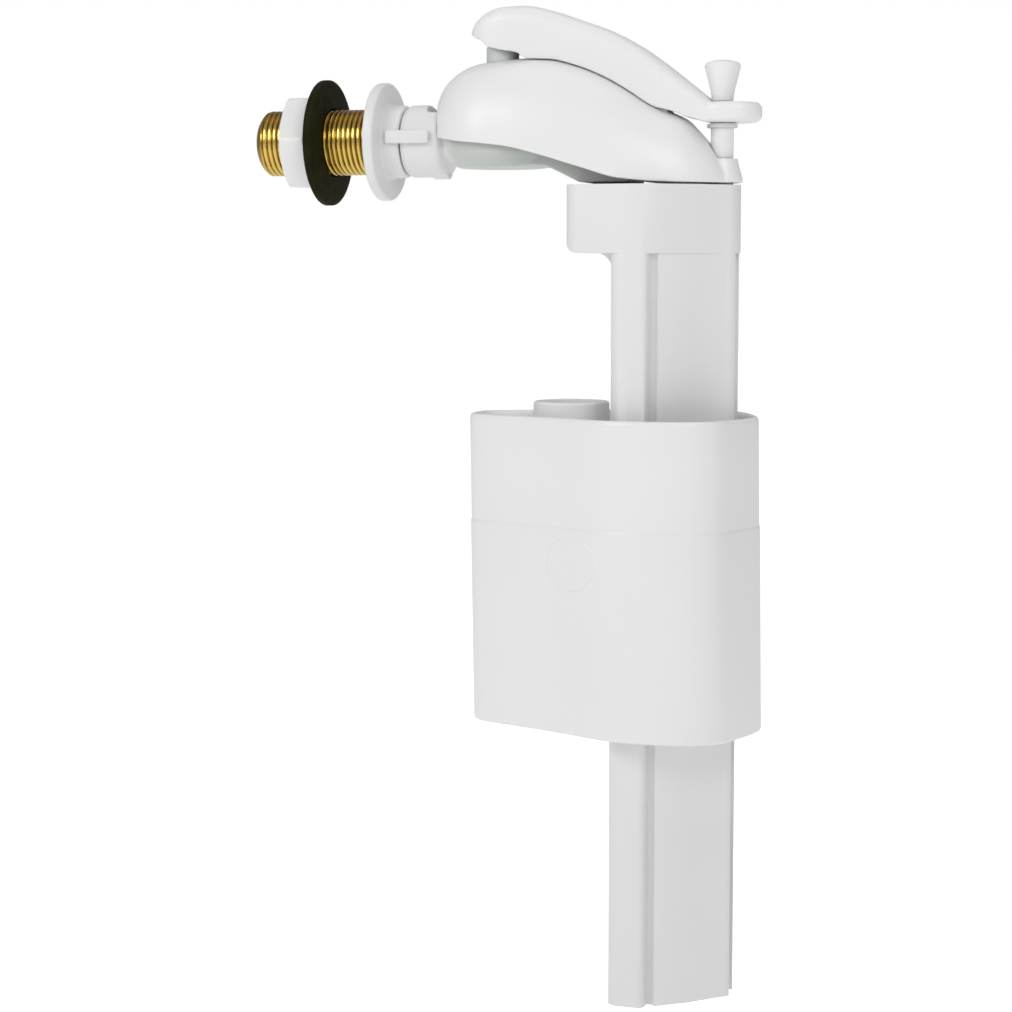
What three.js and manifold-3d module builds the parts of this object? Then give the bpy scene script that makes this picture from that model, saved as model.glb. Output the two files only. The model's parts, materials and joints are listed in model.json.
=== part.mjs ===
// Side-inlet toilet fill valve with a servo diaphragm head, a lever, and a float on an adjusting rod.
// Millimetres, +Z up. The origin is where the inlet axis meets the seating face of the backing flange,
// +X runs into the tank, towards the guide column, and the valve is symmetrical about the plane Y = 0.
import * as THREE from "three";
import { mergeVertices } from "three/addons/utils/BufferGeometryUtils.js";
import Module from "manifold-3d";

const wasm = await Module();
wasm.setup();

// ---- Driving dimensions ----
const GAP = 0.3; // running and fitting gap between neighbouring pieces
const WALL = 1.6; // usual moulded wall
const SIDES = 36; // facets round a large turned shape
const SMALL_SIDES = 18; // facets round a small turned shape

const SHANK_R = 8.33; // G 3/8 thread, 16.66 mm over the crests
const SHANK_START = -31.7;
const SHANK_END = 16;
const SHANK_BORE_R = 4.75;
const SPIGOT_R = 6.5; // plain end of the shank inside the neck
const NUT_START = -23.7;
const NUT_END = -15.9;
const NUT_FLATS = 22.4; // across flats
const WASHER_START = -15.6;
const WASHER_END = -12.6;
const WASHER_R = 16;
const FLANGE_R = 14.9;
const FLANGE_T = 2.8;
const HUB_R = 9.1;
const HUB_END = 7.5;

const HEAD_X = 32.5; // axis of the diaphragm chamber and the pilot
const BOWL_R = 15;
const HEAD_R = 13.4; // the chamber above the bowl
const BOWL_BOTTOM = -7;
const BOWL_RIM = 7;
const BOWL_STEP = 2.4; // where the bowl narrows to the chamber
const PIPE_Z = -1.6; // inlet passage inside the bowl
const NOZZLE_TOP = 3.2;
const SPOUT_X = 61;
const SPOUT_R = 4.8;
const SPOUT_END = -19;
const TURRET_R = 4.1;
const TURRET_TOP = 23.3;

const PIVOT = { x: 71.3, z: 11.4 };
const PIN_R = 1.5;
const LEVER_HALF = 6.3; // half the lever's width
const LEVER_INSIDE = 4.8; // half the width of its channel
const TONGUE_BOTTOM = 3.4;
const TONGUE_TOP = 8.3;
const TONGUE = { x: 89.4, long: 8.7, wide: 6.8 }; // centre and half sizes of its round end

const ROD_X = 88.4;
const ROD_R = 2.8;
const ROD_END = -172;
const CHANNEL_R = 3.3; // rod channel in the column
const COLUMN_BACK = 64.3;
const LOBE_HALF = 18.1; // half the column's width over its lobes
const NOSE_R = 4.6;
const COLUMN_TOP = -11.7;
const HOUSING_START = 52.8;
const HOUSING_HALF = 17.6;
const HOUSING_BOTTOM = -28.3;
const COLUMN_END = -214.5;

const FLOAT_TOP = -68.5;
const FLOAT_DECK = -75;
const FLOAT_BOTTOM = -147;
const FLOAT_DRAFT = 1.2; // how far the outer wall moves towards +X from top to bottom
const CUP = { x: 50.5, r: 9.6, top: -65.3 };

// ---- Turning shapes into solids, and joining and cutting them ----
function solid(geometry) {
  const plain = geometry.index ? geometry.toNonIndexed() : geometry.clone();
  const bare = new THREE.BufferGeometry();
  bare.setAttribute("position", plain.getAttribute("position"));
  const merged = mergeVertices(bare, 1e-4);
  const corners = Array.from(merged.index.array);
  const kept = [];
  for (let i = 0; i < corners.length; i += 3) {
    const [a, b, c] = corners.slice(i, i + 3);
    if (a !== b && b !== c && a !== c) kept.push(a, b, c);
  }
  const mesh = (order) =>
    new wasm.Mesh({
      numProp: 3,
      vertProperties: merged.attributes.position.array,
      triVerts: new Uint32Array(order),
    });
  const made = new wasm.Manifold(mesh(kept));
  return made.volume() < 0 ? new wasm.Manifold(mesh(kept.reverse())) : made;
}

const join = (...solids) => solids.reduce((a, b) => a.add(b));
const cut = (body, ...tools) => tools.reduce((a, b) => a.subtract(b), body);

// A turned shape about the Z line through (x, y), from [radius, z] points that close on themselves.
function turnedZ(points, x = 0, y = 0, sides = SIDES) {
  const profile = points.map(([r, z]) => new THREE.Vector2(r, z));
  const geometry = new THREE.LatheGeometry([...profile, profile[0].clone()], sides);
  return solid(geometry.rotateX(Math.PI / 2).translate(x, y, 0));
}

// A turned shape about the X line at height z, from [radius, x] points.
function turnedX(points, z = 0, sides = SIDES) {
  const profile = points.map(([r, x]) => new THREE.Vector2(r, x));
  const geometry = new THREE.LatheGeometry([...profile, profile[0].clone()], sides);
  return solid(geometry.rotateZ(-Math.PI / 2).translate(0, 0, z));
}

const tube = (inner, outer, from, to) => [
  [inner, from],
  [outer, from],
  [outer, to],
  [inner, to],
];

const rodZ = (r, from, to, x = 0, y = 0, sides = SMALL_SIDES) =>
  turnedZ(tube(0, r, from, to), x, y, sides);

const rodX = (r, from, to, z = 0, sides = SMALL_SIDES) => turnedX(tube(0, r, from, to), z, sides);

function rodY(r, half, x, z) {
  const geometry = new THREE.CylinderGeometry(r, r, 2 * half, SMALL_SIDES);
  return solid(geometry.translate(x, 0, z));
}

function box(x0, x1, y0, y1, z0, z1) {
  const geometry = new THREE.BoxGeometry(x1 - x0, y1 - y0, z1 - z0);
  return solid(geometry.translate((x0 + x1) / 2, (y0 + y1) / 2, (z0 + z1) / 2));
}

// A straight prism along Z of a closed outline of [x, y] points.
function prismZ(points, from, to) {
  const shape = new THREE.Shape(points.map(([x, y]) => new THREE.Vector2(x, y)));
  const geometry = new THREE.ExtrudeGeometry(shape, { depth: to - from, bevelEnabled: false });
  return solid(geometry.translate(0, 0, from));
}

// A straight prism along Y of a closed outline of [x, z] points.
function prismY(points, half) {
  const shape = new THREE.Shape(points.map(([x, z]) => new THREE.Vector2(x, z)));
  const geometry = new THREE.ExtrudeGeometry(shape, { depth: 2 * half, bevelEnabled: false });
  return solid(geometry.translate(0, 0, -half).rotateX(Math.PI / 2));
}

// A skin over a row of rings with the same number of points, closed at both ends by a fan.
function loft(rings) {
  const count = rings[0].length;
  const positions = [];
  const push = (...points) => points.forEach((p) => positions.push(...p));
  for (let i = 0; i + 1 < rings.length; i++) {
    for (let j = 0; j < count; j++) {
      const next = (j + 1) % count;
      push(rings[i][j], rings[i][next], rings[i + 1][next]);
      push(rings[i][j], rings[i + 1][next], rings[i + 1][j]);
    }
  }
  const middle = (ring) => [0, 1, 2].map((k) => ring.reduce((sum, p) => sum + p[k], 0) / count);
  const [first, last] = [rings[0], rings[rings.length - 1]];
  for (let j = 0; j < count; j++) {
    const next = (j + 1) % count;
    push(middle(first), first[next], first[j]);
    push(middle(last), last[j], last[next]);
  }
  const geometry = new THREE.BufferGeometry();
  geometry.setAttribute("position", new THREE.Float32BufferAttribute(positions, 3));
  return solid(geometry);
}

// The value at x of a row of [x, value] points, joined by a smooth monotone curve.
function along(points, x) {
  if (x <= points[0][0]) return points[0][1];
  const last = points.length - 1;
  if (x >= points[last][0]) return points[last][1];
  const i = points.findIndex(([at]) => at > x) - 1;
  const slope = (k) =>
    k < 0 || k >= last ? null : (points[k + 1][1] - points[k][1]) / (points[k + 1][0] - points[k][0]);
  const tangent = (k) => {
    const [before, after] = [slope(k - 1), slope(k)];
    if (before === null || after === null) return before ?? after;
    return before * after <= 0 ? 0 : (2 * before * after) / (before + after);
  };
  const span = points[i + 1][0] - points[i][0];
  const t = (x - points[i][0]) / span;
  const blend = t * t * (3 - 2 * t);
  const lead = t * (1 - t) * (1 - t) * span * tangent(i);
  const tail = t * t * (1 - t) * span * tangent(i + 1);
  return points[i][1] * (1 - blend) + points[i + 1][1] * blend + lead - tail;
}

// ---- Outlines in plan ----
function arc(cx, cy, r, fromDegrees, toDegrees, steps) {
  return Array.from({ length: steps + 1 }, (_, i) => {
    const a = THREE.MathUtils.degToRad(fromDegrees + ((toDegrees - fromDegrees) * i) / steps);
    return [cx + r * Math.cos(a), cy + r * Math.sin(a)];
  });
}

// A half outline at +Y, from the back to the nose, mirrored to a closed one.
const mirrored = (half) => [...half, ...[...half].reverse().map(([x, y]) => [x, -y])];

// The guide column: square-shouldered lobes at the back, a groove, flat flanks and a round nose.
const columnOutline = () =>
  mirrored([
    ...arc(COLUMN_BACK + 3, LOBE_HALF - 3, 3, 180, 90, 5),
    ...arc(72.2, LOBE_HALF - 1.5, 1.5, 90, 0, 4),
    [74, 14.6],
    [75.2, 14.6],
    [76, 15.6],
    [83.5, 10.6],
    ...arc(ROD_X + 0.1, 0, NOSE_R, 66, 4, 5),
  ]);

// The water channel inside the column, behind the web that parts it from the rod channel.
const waterOutline = () =>
  mirrored([
    ...arc(COLUMN_BACK + 3, LOBE_HALF - 3, 3 - WALL, 180, 90, 4),
    [72, LOBE_HALF - WALL],
    [72.4, 13],
    [75.6, 13],
    [76, 13.6],
    [82.3, 9.3],
    [82.9, 6],
  ]);

// The upper housing that carries the water across from the head.
const housingOutline = () =>
  mirrored([
    ...arc(HOUSING_START + 4, HOUSING_HALF - 4, 4, 180, 90, 5),
    [68.8, LOBE_HALF],
    [72.2, LOBE_HALF],
    [74.4, 17.2],
    [76.4, 15.9],
    [83.8, 10.9],
    ...arc(ROD_X + 0.1, 0, NOSE_R, 66, 4, 5),
  ]);

// The float in plan, at its top edge.
function floatOutline(inset = 0, shift = 0) {
  const half = [
    [24.4, 2.2],
    [25, 5.2],
    [26.8, 7.6],
    [31, 9.7],
    [42, 13.5],
    [52, 17.6],
    [60, 21.8],
    [66, 23.8],
    [72.5, 24.2],
    [80, 24],
    [86, 22.4],
    [90.5, 19.6],
    [92.6, 17],
    [94.6, 12.5],
    [96.8, 6.5],
    [98.2, 1.5],
  ];
  const middle = 62.5;
  const shrunk = half.map(([x, y]) => [
    x < middle ? Math.min(middle, x + inset) + shift : x - inset * ((x - middle) / 35.7) + shift,
    Math.max(0.5, y - inset),
  ]);
  return mirrored(shrunk);
}

// ---- Looks of the plain model ----
const finish = (color, roughness, metalness = 0) =>
  new THREE.MeshStandardMaterial({ color, roughness, metalness });
const white = finish(0xe6e8ea, 0.38);
const milky = finish(0xd9dcde, 0.5);
const brass = finish(0xc79a3a, 0.28, 1);
const darkRubber = finish(0x34322a, 0.75);
const softRubber = finish(0x3b3b3d, 0.7);

const valve = new THREE.Group();
valve.name = "fill_valve";

function add(name, made, material) {
  const mesh = made.getMesh();
  const geometry = new THREE.BufferGeometry();
  geometry.setAttribute("position", new THREE.BufferAttribute(mesh.vertProperties, 3));
  geometry.setIndex(new THREE.BufferAttribute(mesh.triVerts, 1));
  geometry.computeVertexNormals();
  const piece = new THREE.Mesh(geometry, material);
  piece.name = name;
  valve.add(piece);
}

// ---- Inlet: brass shank, its strainer and flow limiter, washer and lock nut ----
function inletShank() {
  const chamfer = 2.2;
  return turnedX([
    [SHANK_BORE_R, SHANK_START],
    [SHANK_R - chamfer, SHANK_START],
    [SHANK_R - 0.7, SHANK_START + 0.9],
    [SHANK_R, SHANK_START + chamfer],
    [SHANK_R, 1.2],
    [7, 1.2],
    [7, HUB_END],
    [SPIGOT_R, HUB_END],
    [SPIGOT_R, 11],
    [5.6, 11],
    [5.6, 13],
    [SPIGOT_R, 13],
    [SPIGOT_R, SHANK_END - GAP],
    [SHANK_BORE_R, SHANK_END - GAP],
  ]);
}

const shankORing = () => turnedX(tube(5.9, SPIGOT_R + 0.15, 11.3, 12.7));

function inletStrainer() {
  const start = SHANK_START + 4;
  const r = SHANK_BORE_R - GAP;
  return turnedX([
    [r - 0.7, start],
    [r, start],
    [r, start + 2],
    [r - 0.5, start + 2.5],
    [1.6, 2],
    [0, 2],
    [0, 1.3],
    [1.1, 1.3],
    [r - 1.2, start + 2.5],
  ], 0, SMALL_SIDES);
}

const flowLimiter = () => turnedX([
  [1.5, 7],
  [SHANK_BORE_R - GAP, 7],
  [SHANK_BORE_R - GAP, 10.5],
  [3, 10.5],
  [1.5, 9],
], 0, SMALL_SIDES);

const tankWasher = () => turnedX(tube(SHANK_R + GAP, WASHER_R, WASHER_START, WASHER_END));

function lockNut() {
  const corner = NUT_FLATS / Math.sqrt(3);
  const hexagon = new THREE.CylinderGeometry(corner, corner, NUT_END - NUT_START, 6);
  const prism = solid(hexagon.rotateZ(Math.PI / 2).rotateX(Math.PI / 6).translate((NUT_START + NUT_END) / 2, 0, 0));
  const crown = NUT_FLATS / 2 + 0.2;
  const bevelled = turnedX([
    [0, NUT_START],
    [crown, NUT_START],
    [corner + 0.1, NUT_START + 1.1],
    [corner + 0.1, NUT_END],
    [0, NUT_END],
  ]);
  return cut(prism.intersect(bevelled), rodX(SHANK_R + GAP, NUT_START - 1, NUT_END + 1, 0, SIDES));
}

function backingFlange() {
  const ring = turnedX([
    [SHANK_R + GAP, 0],
    [FLANGE_R - 0.5, 0],
    [FLANGE_R, 0.5],
    [FLANGE_R, FLANGE_T],
    [HUB_R + 0.6, FLANGE_T],
    [HUB_R, FLANGE_T + 0.6],
    [HUB_R, HUB_END],
    [7 + GAP, HUB_END],
    [7 + GAP, 1.5],
    [SHANK_R + GAP, 1.5],
  ]);
  const arms = [-1, 1].map((side) => {
    const [y0, y1] = [side * (HUB_R + GAP), side * (HUB_R + 1.6)].sort((a, b) => a - b);
    const [foot0, foot1] = [side * (HUB_R - 0.6), side * (HUB_R + 1.6)].sort((a, b) => a - b);
    return join(box(5, 16, y0, y1, -0.9, 2.4), box(5, HUB_END - 0.1, foot0, foot1, -0.9, 2.4));
  });
  return join(ring, ...arms);
}

// ---- Servo head ----
function valveBody() {
  const neck = turnedX([
    [0, HUB_END + GAP],
    [HUB_R - 0.5, HUB_END + GAP],
    [HUB_R - 0.5, 8.8],
    [HUB_R, 8.8],
    [HUB_R, 17],
    [HUB_R - 0.8, 18.6],
    [HUB_R - 2.8, 19.6],
    [0, 19.6],
  ]);
  const lug = rodX(2.4, 14.6, 18.6, 1.9 - HUB_R);
  const bowl = turnedZ([
    [0, BOWL_BOTTOM],
    [BOWL_R - 4, BOWL_BOTTOM],
    [BOWL_R - 1, BOWL_BOTTOM + 1.6],
    [BOWL_R, BOWL_BOTTOM + 4],
    [BOWL_R, BOWL_STEP],
    [HEAD_R, BOWL_STEP + 1],
    [HEAD_R, BOWL_RIM],
    [0, BOWL_RIM],
  ], HEAD_X);
  const duct = prismY([
    [40, -6.6],
    [46, -6.8],
    [54.5, -10.9],
    [67, -10.9],
    [67, -9.3],
    [59, -6.2],
    [46, -1.6],
    [40, -1.6],
  ], 9);
  const spout = rodZ(SPOUT_R, SPOUT_END, -10, SPOUT_X, 0, SIDES);
  const hollow = turnedZ([
    [0, BOWL_BOTTOM + 2],
    [BOWL_R - 4.2, BOWL_BOTTOM + 2],
    [HEAD_R - 2.2, BOWL_BOTTOM + 4.5],
    [HEAD_R - 2.2, 4.4],
    [HEAD_R - 0.9, 4.4],
    [HEAD_R - 0.9, BOWL_RIM + 1],
    [0, BOWL_RIM + 1],
  ], HEAD_X);
  const lidRoom = rodZ(HEAD_R + 6, BOWL_RIM, BOWL_RIM + 8, HEAD_X);
  const ductHollow = prismY([
    [42, -5.2],
    [46.4, -5.2],
    [54.9, -9.2],
    [62.8, -9.2],
    [58.6, -7.7],
    [45.6, -3],
    [42, -3],
  ], 7.3);
  const nozzle = join(
    rodX(4.4, 18, HEAD_X, PIPE_Z, SMALL_SIDES),
    rodZ(4.6, BOWL_BOTTOM + 1, NOZZLE_TOP, HEAD_X),
  );
  const shell = cut(
    join(neck, lug, bowl, duct, spout),
    hollow,
    lidRoom,
    ductHollow,
    rodZ(SPOUT_R - 1.2, SPOUT_END - 1, -9.1, SPOUT_X),
  );
  return cut(
    join(shell, nozzle),
    rodX(SPIGOT_R + GAP, 0, SHANK_END, 0, SIDES),
    rodX(3, 10, HEAD_X, PIPE_Z),
    rodZ(3, PIPE_Z, NOZZLE_TOP + 1, HEAD_X),
  );
}

const valveSeat = () => turnedZ([
  [2, 0.4],
  [2.7, 0.4],
  [2.7, NOZZLE_TOP + GAP],
  [4.3, NOZZLE_TOP + GAP],
  [3.4, NOZZLE_TOP + 1],
  [2, NOZZLE_TOP + 1],
], HEAD_X, 0, SMALL_SIDES);

const PIN_OFFSET = 8.2; // the metering pin stands beside the nozzle
const DIAPHRAGM_BOTTOM = 4.7;

const meteringPin = () => turnedZ([
  [0, BOWL_BOTTOM + 2 + GAP],
  [1.5, BOWL_BOTTOM + 2 + GAP],
  [1.5, BOWL_BOTTOM + 3.2],
  [0.5, BOWL_BOTTOM + 3.6],
  [0.5, 8],
  [0, 8],
], HEAD_X, PIN_OFFSET, 12);

function diaphragm() {
  const disc = turnedZ([
    [2.3, DIAPHRAGM_BOTTOM],
    [HEAD_R - 1.2, DIAPHRAGM_BOTTOM],
    [HEAD_R - 1.2, DIAPHRAGM_BOTTOM + 2.1],
    [HEAD_R - 2.8, DIAPHRAGM_BOTTOM + 2.1],
    [HEAD_R - 3.2, DIAPHRAGM_BOTTOM + 1.1],
    [2.3, DIAPHRAGM_BOTTOM + 1.1],
  ], HEAD_X);
  return cut(disc, rodZ(0.9, 3, 9, HEAD_X, PIN_OFFSET, 12));
}

const diaphragmInsert = () => turnedZ([
  [0, DIAPHRAGM_BOTTOM],
  [2, DIAPHRAGM_BOTTOM],
  [2, DIAPHRAGM_BOTTOM + 1.4],
  [4.2, DIAPHRAGM_BOTTOM + 1.4],
  [4.2, DIAPHRAGM_BOTTOM + 2.6],
  [0, DIAPHRAGM_BOTTOM + 2.6],
], HEAD_X, 0, SMALL_SIDES);

const chamberLid = () => turnedZ([
  [0.8, 13.6],
  [2.6, 13.6],
  [2.6, 12.6],
  [8, 12.6],
  [HEAD_R - 3, 10.6],
  [HEAD_R - 3, BOWL_RIM + GAP],
  [HEAD_R - 0.2, BOWL_RIM + GAP],
  [HEAD_R - 0.2, 9.6],
  [HEAD_R - 1.4, 11.2],
  [9, 14.6],
  [5, 15.4],
  [0.8, 15.4],
], HEAD_X);

const pilotTurret = () => turnedZ([
  [0.6, 15.4 + GAP],
  [5.2, 15.4 + GAP],
  [5.2, 17],
  [TURRET_R, 17.6],
  [TURRET_R, TURRET_TOP - 0.6],
  [TURRET_R - 0.6, TURRET_TOP],
  [0.6, TURRET_TOP],
], HEAD_X, 0, SMALL_SIDES);

// ---- Head cover: a dome over the chamber, running down to a nose round the rod ----
const COVER_CREST = [
  [15.2, 4], [15.6, 6.2], [16.1, 8.4], [17, 11.9], [18.6, 14.3], [20.7, 16.2], [23.7, 18], [28.5, 19.3],
  [33, 19.8], [40, 20.1], [46, 19.9], [52.4, 18.4], [60.1, 15.3], [66.2, 11.8], [70.4, 9], [74.2, 6.9],
  [78, 5.3], [80, 4.2], [82, 2.2], [84, 0], [87.4, -4], [89, -6.6], [91.6, -10],
];
const COVER_HALF = [
  [32.5, 17.3], [42, 17.4], [52, 17.2], [60, 16.8], [68, 15.9], [74, 14.7], [79, 13.1],
  [83, 11.2], [86.5, 8.6], [89.8, 5], [91.6, 1.6],
];
const COVER_RIM = [
  [15.2, 0.8], [20.8, 0.1], [24, -0.5], [37.5, -2.1], [47.1, -4.5], [56.6, -7.4], [66, -10.1],
  [75.4, -10.9], [84.6, -11.1], [91.6, -11.1],
];
const COVER_FULLNESS = [[22, 1], [38, 0.88]]; // 1 is an ellipse in section, less is squarer


// Half the cover's width: a circle round the chamber axis up to it, and a tapering tail beyond.
function coverHalf(x) {
  const r = HEAD_X - 15.2;
  return x < HEAD_X ? Math.sqrt(Math.max(1, r * r - (HEAD_X - x) ** 2)) : along(COVER_HALF, x);
}

// The height of the cover's outside at (x, y).
function coverTop(x, y) {
  const fullness = along(COVER_FULLNESS, x);
  const rim = along(COVER_RIM, x);
  const share = (1 - (y / coverHalf(x)) ** (2 / fullness)) ** (fullness / 2);
  return rim + (along(COVER_CREST, x) - rim) * share;
}

function coverRing(x, inset) {
  const steps = 14;
  const fullness = along(COVER_FULLNESS, x);
  const half = Math.max(0.3, coverHalf(x) - inset);
  const rim = along(COVER_RIM, x);
  const skirt = rim - (inset > 0 ? 4 : 0.2);
  const crest = along(COVER_CREST, x) - inset;
  const dome = Array.from({ length: steps + 1 }, (_, i) => {
    const a = (Math.PI * i) / steps;
    const squared = (v) => Math.sign(v) * Math.abs(v) ** fullness;
    return [x, half * squared(Math.cos(a)), rim + (crest - rim) * squared(Math.sin(a))];
  });
  return [[x, half, skirt], ...dome, [x, -half, skirt]];
}

function headCover() {
  const stations = [15.2, 15.6, 16.6, 18.4, 20.7, 24, 28, 33, 39, 46, 53, 60, 67, 73, 79, 83, 86, 89, 91.6];
  const outer = loft(stations.map((x) => coverRing(x, 0)));
  const inner = loft(stations.slice(2, -2).map((x) => coverRing(x, 1.5)));
  const bell = turnedZ([
    [0, -11.2],
    [5.2, -11.2],
    [4.9, -9.8],
    [4.2, -7.2],
    [3.8, -5.2],
    [0, -5.2],
  ], ROD_X, 0, SMALL_SIDES);
  const bracket = prismY([
    [67, 6],
    [75.6, 3],
    [75.2, 11.4],
    [73.6, 14],
    [69, 14],
    [67.4, 11.4],
  ], LEVER_INSIDE - 0.6);
  const neckRoom = rodX(HUB_R + 0.5, 10, 22, 0, SIDES);
  return cut(
    join(cut(outer, inner), bell, bracket),
    rodZ(TURRET_R + GAP, 15, 23, HEAD_X),
    rodZ(CHANNEL_R, -12, 12, ROD_X),
    rodY(PIN_R + GAP, 10, PIVOT.x, PIVOT.z),
    neckRoom,
  );
}

const leverPin = () => rodY(PIN_R, LEVER_INSIDE + 0.7, PIVOT.x, PIVOT.z);

// ---- Lever: an arched channel with a closed nose, and a tongue with a ring round the rod ----
const LEVER_TOP = [
  [24.9, 26.8], [26, 29], [29.1, 31.7], [33, 32.9], [38.2, 33.1], [47.3, 31.2], [52.4, 29.4],
  [60.1, 26.6], [67.7, 22.7], [74, 18.4], [80.3, 13.5], [84, 10.5], [86, 8.9],
];
const LEVER_UNDER = [
  [24.9, 26.2], [26.8, 25.1], [28.4, 24.4], [30, 22.9], [34, 21.9], [37.5, 21.3], [42, 18], [76, 4.6],
  [80, 4.8], [83, 4.1], [85, 3.6], [86, TONGUE_BOTTOM],
];
const leverHalf = (x) =>
  along([[24.9, 2.2], [26.5, 4.4], [29.5, 5.8], [34, LEVER_HALF], [86, LEVER_HALF]], x);

// The lever's lower edge: it follows the cover closely, with room to swing down beyond the pivot.
function leverUnder(x) {
  const side = LEVER_INSIDE * Math.min(1, Math.max(0, (77 - x) / 4));
  const room = 0.4 + 0.0436 * Math.max(0, x - PIVOT.x);
  return x < 38 ? along(LEVER_UNDER, x) : Math.max(along(LEVER_UNDER, x), coverTop(x, side) + room);
}

function leverRing(x, inset) {
  const steps = 8;
  const half = leverHalf(x) - inset;
  const top = along(LEVER_TOP, x) - inset;
  const under = leverUnder(x) - (inset > 0 ? 3 : 0);
  const crown = Math.min(4.5, (top - under) * 0.6);
  const round = Array.from({ length: steps + 1 }, (_, i) => {
    const a = (Math.PI * i) / steps;
    const soft = (v) => Math.sign(v) * Math.abs(v) ** 0.75;
    return [x, half * soft(Math.cos(a)), top - crown + crown * soft(Math.sin(a))];
  });
  return [[x, half, under], ...round, [x, -half, under]];
}

function floatLever() {
  const outside = [24.9, 25.6, 27, 29.5, 33, 37, 41, 45, 49, 53, 57, 61, 65, 69, 73, 76, 79, 81, 83, 86];
  const inside = [28.4, 30.5, 33.5, 37, 41, 45, 49, 53, 57, 61, 65, 69, 73, 77];
  const long = TONGUE.long;
  const disc = turnedZ([
    [0, TONGUE_BOTTOM],
    [long - 1.4, TONGUE_BOTTOM],
    [long - 0.4, TONGUE_BOTTOM + 0.5],
    [long, TONGUE_BOTTOM + 1.5],
    [long, TONGUE_TOP - 1.5],
    [long - 0.4, TONGUE_TOP - 0.5],
    [long - 1.4, TONGUE_TOP],
    [0, TONGUE_TOP],
  ]);
  const tongue = disc.scale([1, TONGUE.wide / long, 1]).translate([TONGUE.x, 0, 0]);
  return cut(
    join(loft(outside.map((x) => leverRing(x, 0))), cut(tongue, box(70, 85, -12, 12, 0, 12))),
    loft(inside.map((x) => leverRing(x, LEVER_HALF - LEVER_INSIDE))),
    rodZ(ROD_R + 0.5, 0, 14, ROD_X),
    rodY(PIN_R + GAP, LEVER_INSIDE + 1, PIVOT.x, PIVOT.z),
  );
}

const pilotPad = () => turnedZ([
  [0, TURRET_TOP + GAP],
  [2.4, TURRET_TOP + GAP],
  [2.4, 25.4],
  [3.4, 26],
  [3.4, 29.6],
  [0, 29.6],
], HEAD_X, 0, SMALL_SIDES);

// ---- Adjusting rod, its knob and the clip that hangs it in the lever ----
const adjustingRod = () => turnedZ([
  [0, ROD_END],
  [ROD_R - 0.8, ROD_END],
  [ROD_R, ROD_END + 0.8],
  [ROD_R, TONGUE_TOP],
  [1.6, TONGUE_TOP],
  [1.6, 14],
  [0, 14],
], ROD_X, 0, SMALL_SIDES);

const adjustingKnob = () => turnedZ([
  [1.9, TONGUE_TOP + GAP],
  [2.6, TONGUE_TOP + GAP],
  [2.9, 11],
  [4.45, 17.2],
  [3.9, 18],
  [2, 18.5],
  [0, 18.6],
  [0, 14 + GAP],
  [1.9, 14 + GAP],
], ROD_X, 0, SMALL_SIDES);

const rodSwivelClip = () => turnedZ(tube(ROD_R + GAP, 3.7, 2.2, TONGUE_BOTTOM - GAP), ROD_X, 0, SMALL_SIDES);

// ---- Guide column, with the water channel at the back and the rod channel in the nose ----
function guideColumn() {
  const shaft = prismZ(columnOutline(), COLUMN_END, HOUSING_BOTTOM + 1);
  const housing = prismZ(housingOutline(), HOUSING_BOTTOM, COLUMN_TOP);
  const fillet = 4;
  const corner = prismY([
    [COLUMN_BACK + 2, HOUSING_BOTTOM + 0.2],
    [COLUMN_BACK + 2, HOUSING_BOTTOM - fillet],
    ...arc(COLUMN_BACK - fillet, HOUSING_BOTTOM - fillet, fillet, 0, 90, 5),
    [COLUMN_BACK - fillet, HOUSING_BOTTOM + 0.2],
  ], 14.5);
  const rounding = 3.5;
  const outside = prismY([
    [HOUSING_START - 1, HOUSING_BOTTOM - 1],
    ...arc(HOUSING_START + rounding, HOUSING_BOTTOM + rounding, rounding, 270, 180, 5),
  ], HOUSING_HALF + 1);
  return cut(
    join(shaft, cut(housing, outside), corner),
    prismZ(waterOutline(), COLUMN_END - 1, -14.2),
    box(HOUSING_START + WALL, 70, -12, 12, -26.4, -14.2),
    rodZ(SPOUT_R + 0.5, -15, -11, SPOUT_X, 0, SIDES),
    rodZ(CHANNEL_R, COLUMN_END - 1, -11, ROD_X),
    box(ROD_X, 95, -2.4, 2.4, COLUMN_END - 1, -20),
  );
}

const columnGasket = () => turnedZ(tube(SPOUT_R + GAP, SPOUT_R + 1.4, -16.6, -14.5), SPOUT_X);

function flowSilencer() {
  const fin = box(67, 80, -0.7, 0.7, -74, -40);
  const cross = box(69.2, 70.6, -12.2, 12.2, -74, -40);
  const slots = [-68, -60, -52].map((z) => box(68, 72, -9, -3, z, z + 5));
  const mirroredSlots = [-68, -60, -52].map((z) => box(68, 72, 3, 9, z, z + 5));
  return cut(join(fin, cross), ...slots, ...mirroredSlots);
}

// ---- Float: a bottomless shell round the column, its base, and the half nut on the rod ----
const PASSAGE = 1.2; // clearance round the column
const SLEEVE = 1.2; // wall round the passage

function passageOutline(grow) {
  return mirrored([
    ...arc(COLUMN_BACK + 3, LOBE_HALF - 3, 3 + grow, 180, 90, 5),
    [72.4, LOBE_HALF + grow],
    [76.6 + grow * 0.5, 15.4 + grow],
    [83.6 + grow * 0.6, 10.4 + grow],
    ...arc(ROD_X + 0.1, 0, NOSE_R + grow, 60, 5, 4),
  ]);
}

function floatBody(inset, from, to) {
  const share = (z) => (FLOAT_TOP - z) / (FLOAT_TOP - FLOAT_BOTTOM);
  const ring = (z) => floatOutline(inset, FLOAT_DRAFT * share(z)).map(([x, y]) => [x, y, z]);
  return loft([ring(from), ring(to)]);
}

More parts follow.
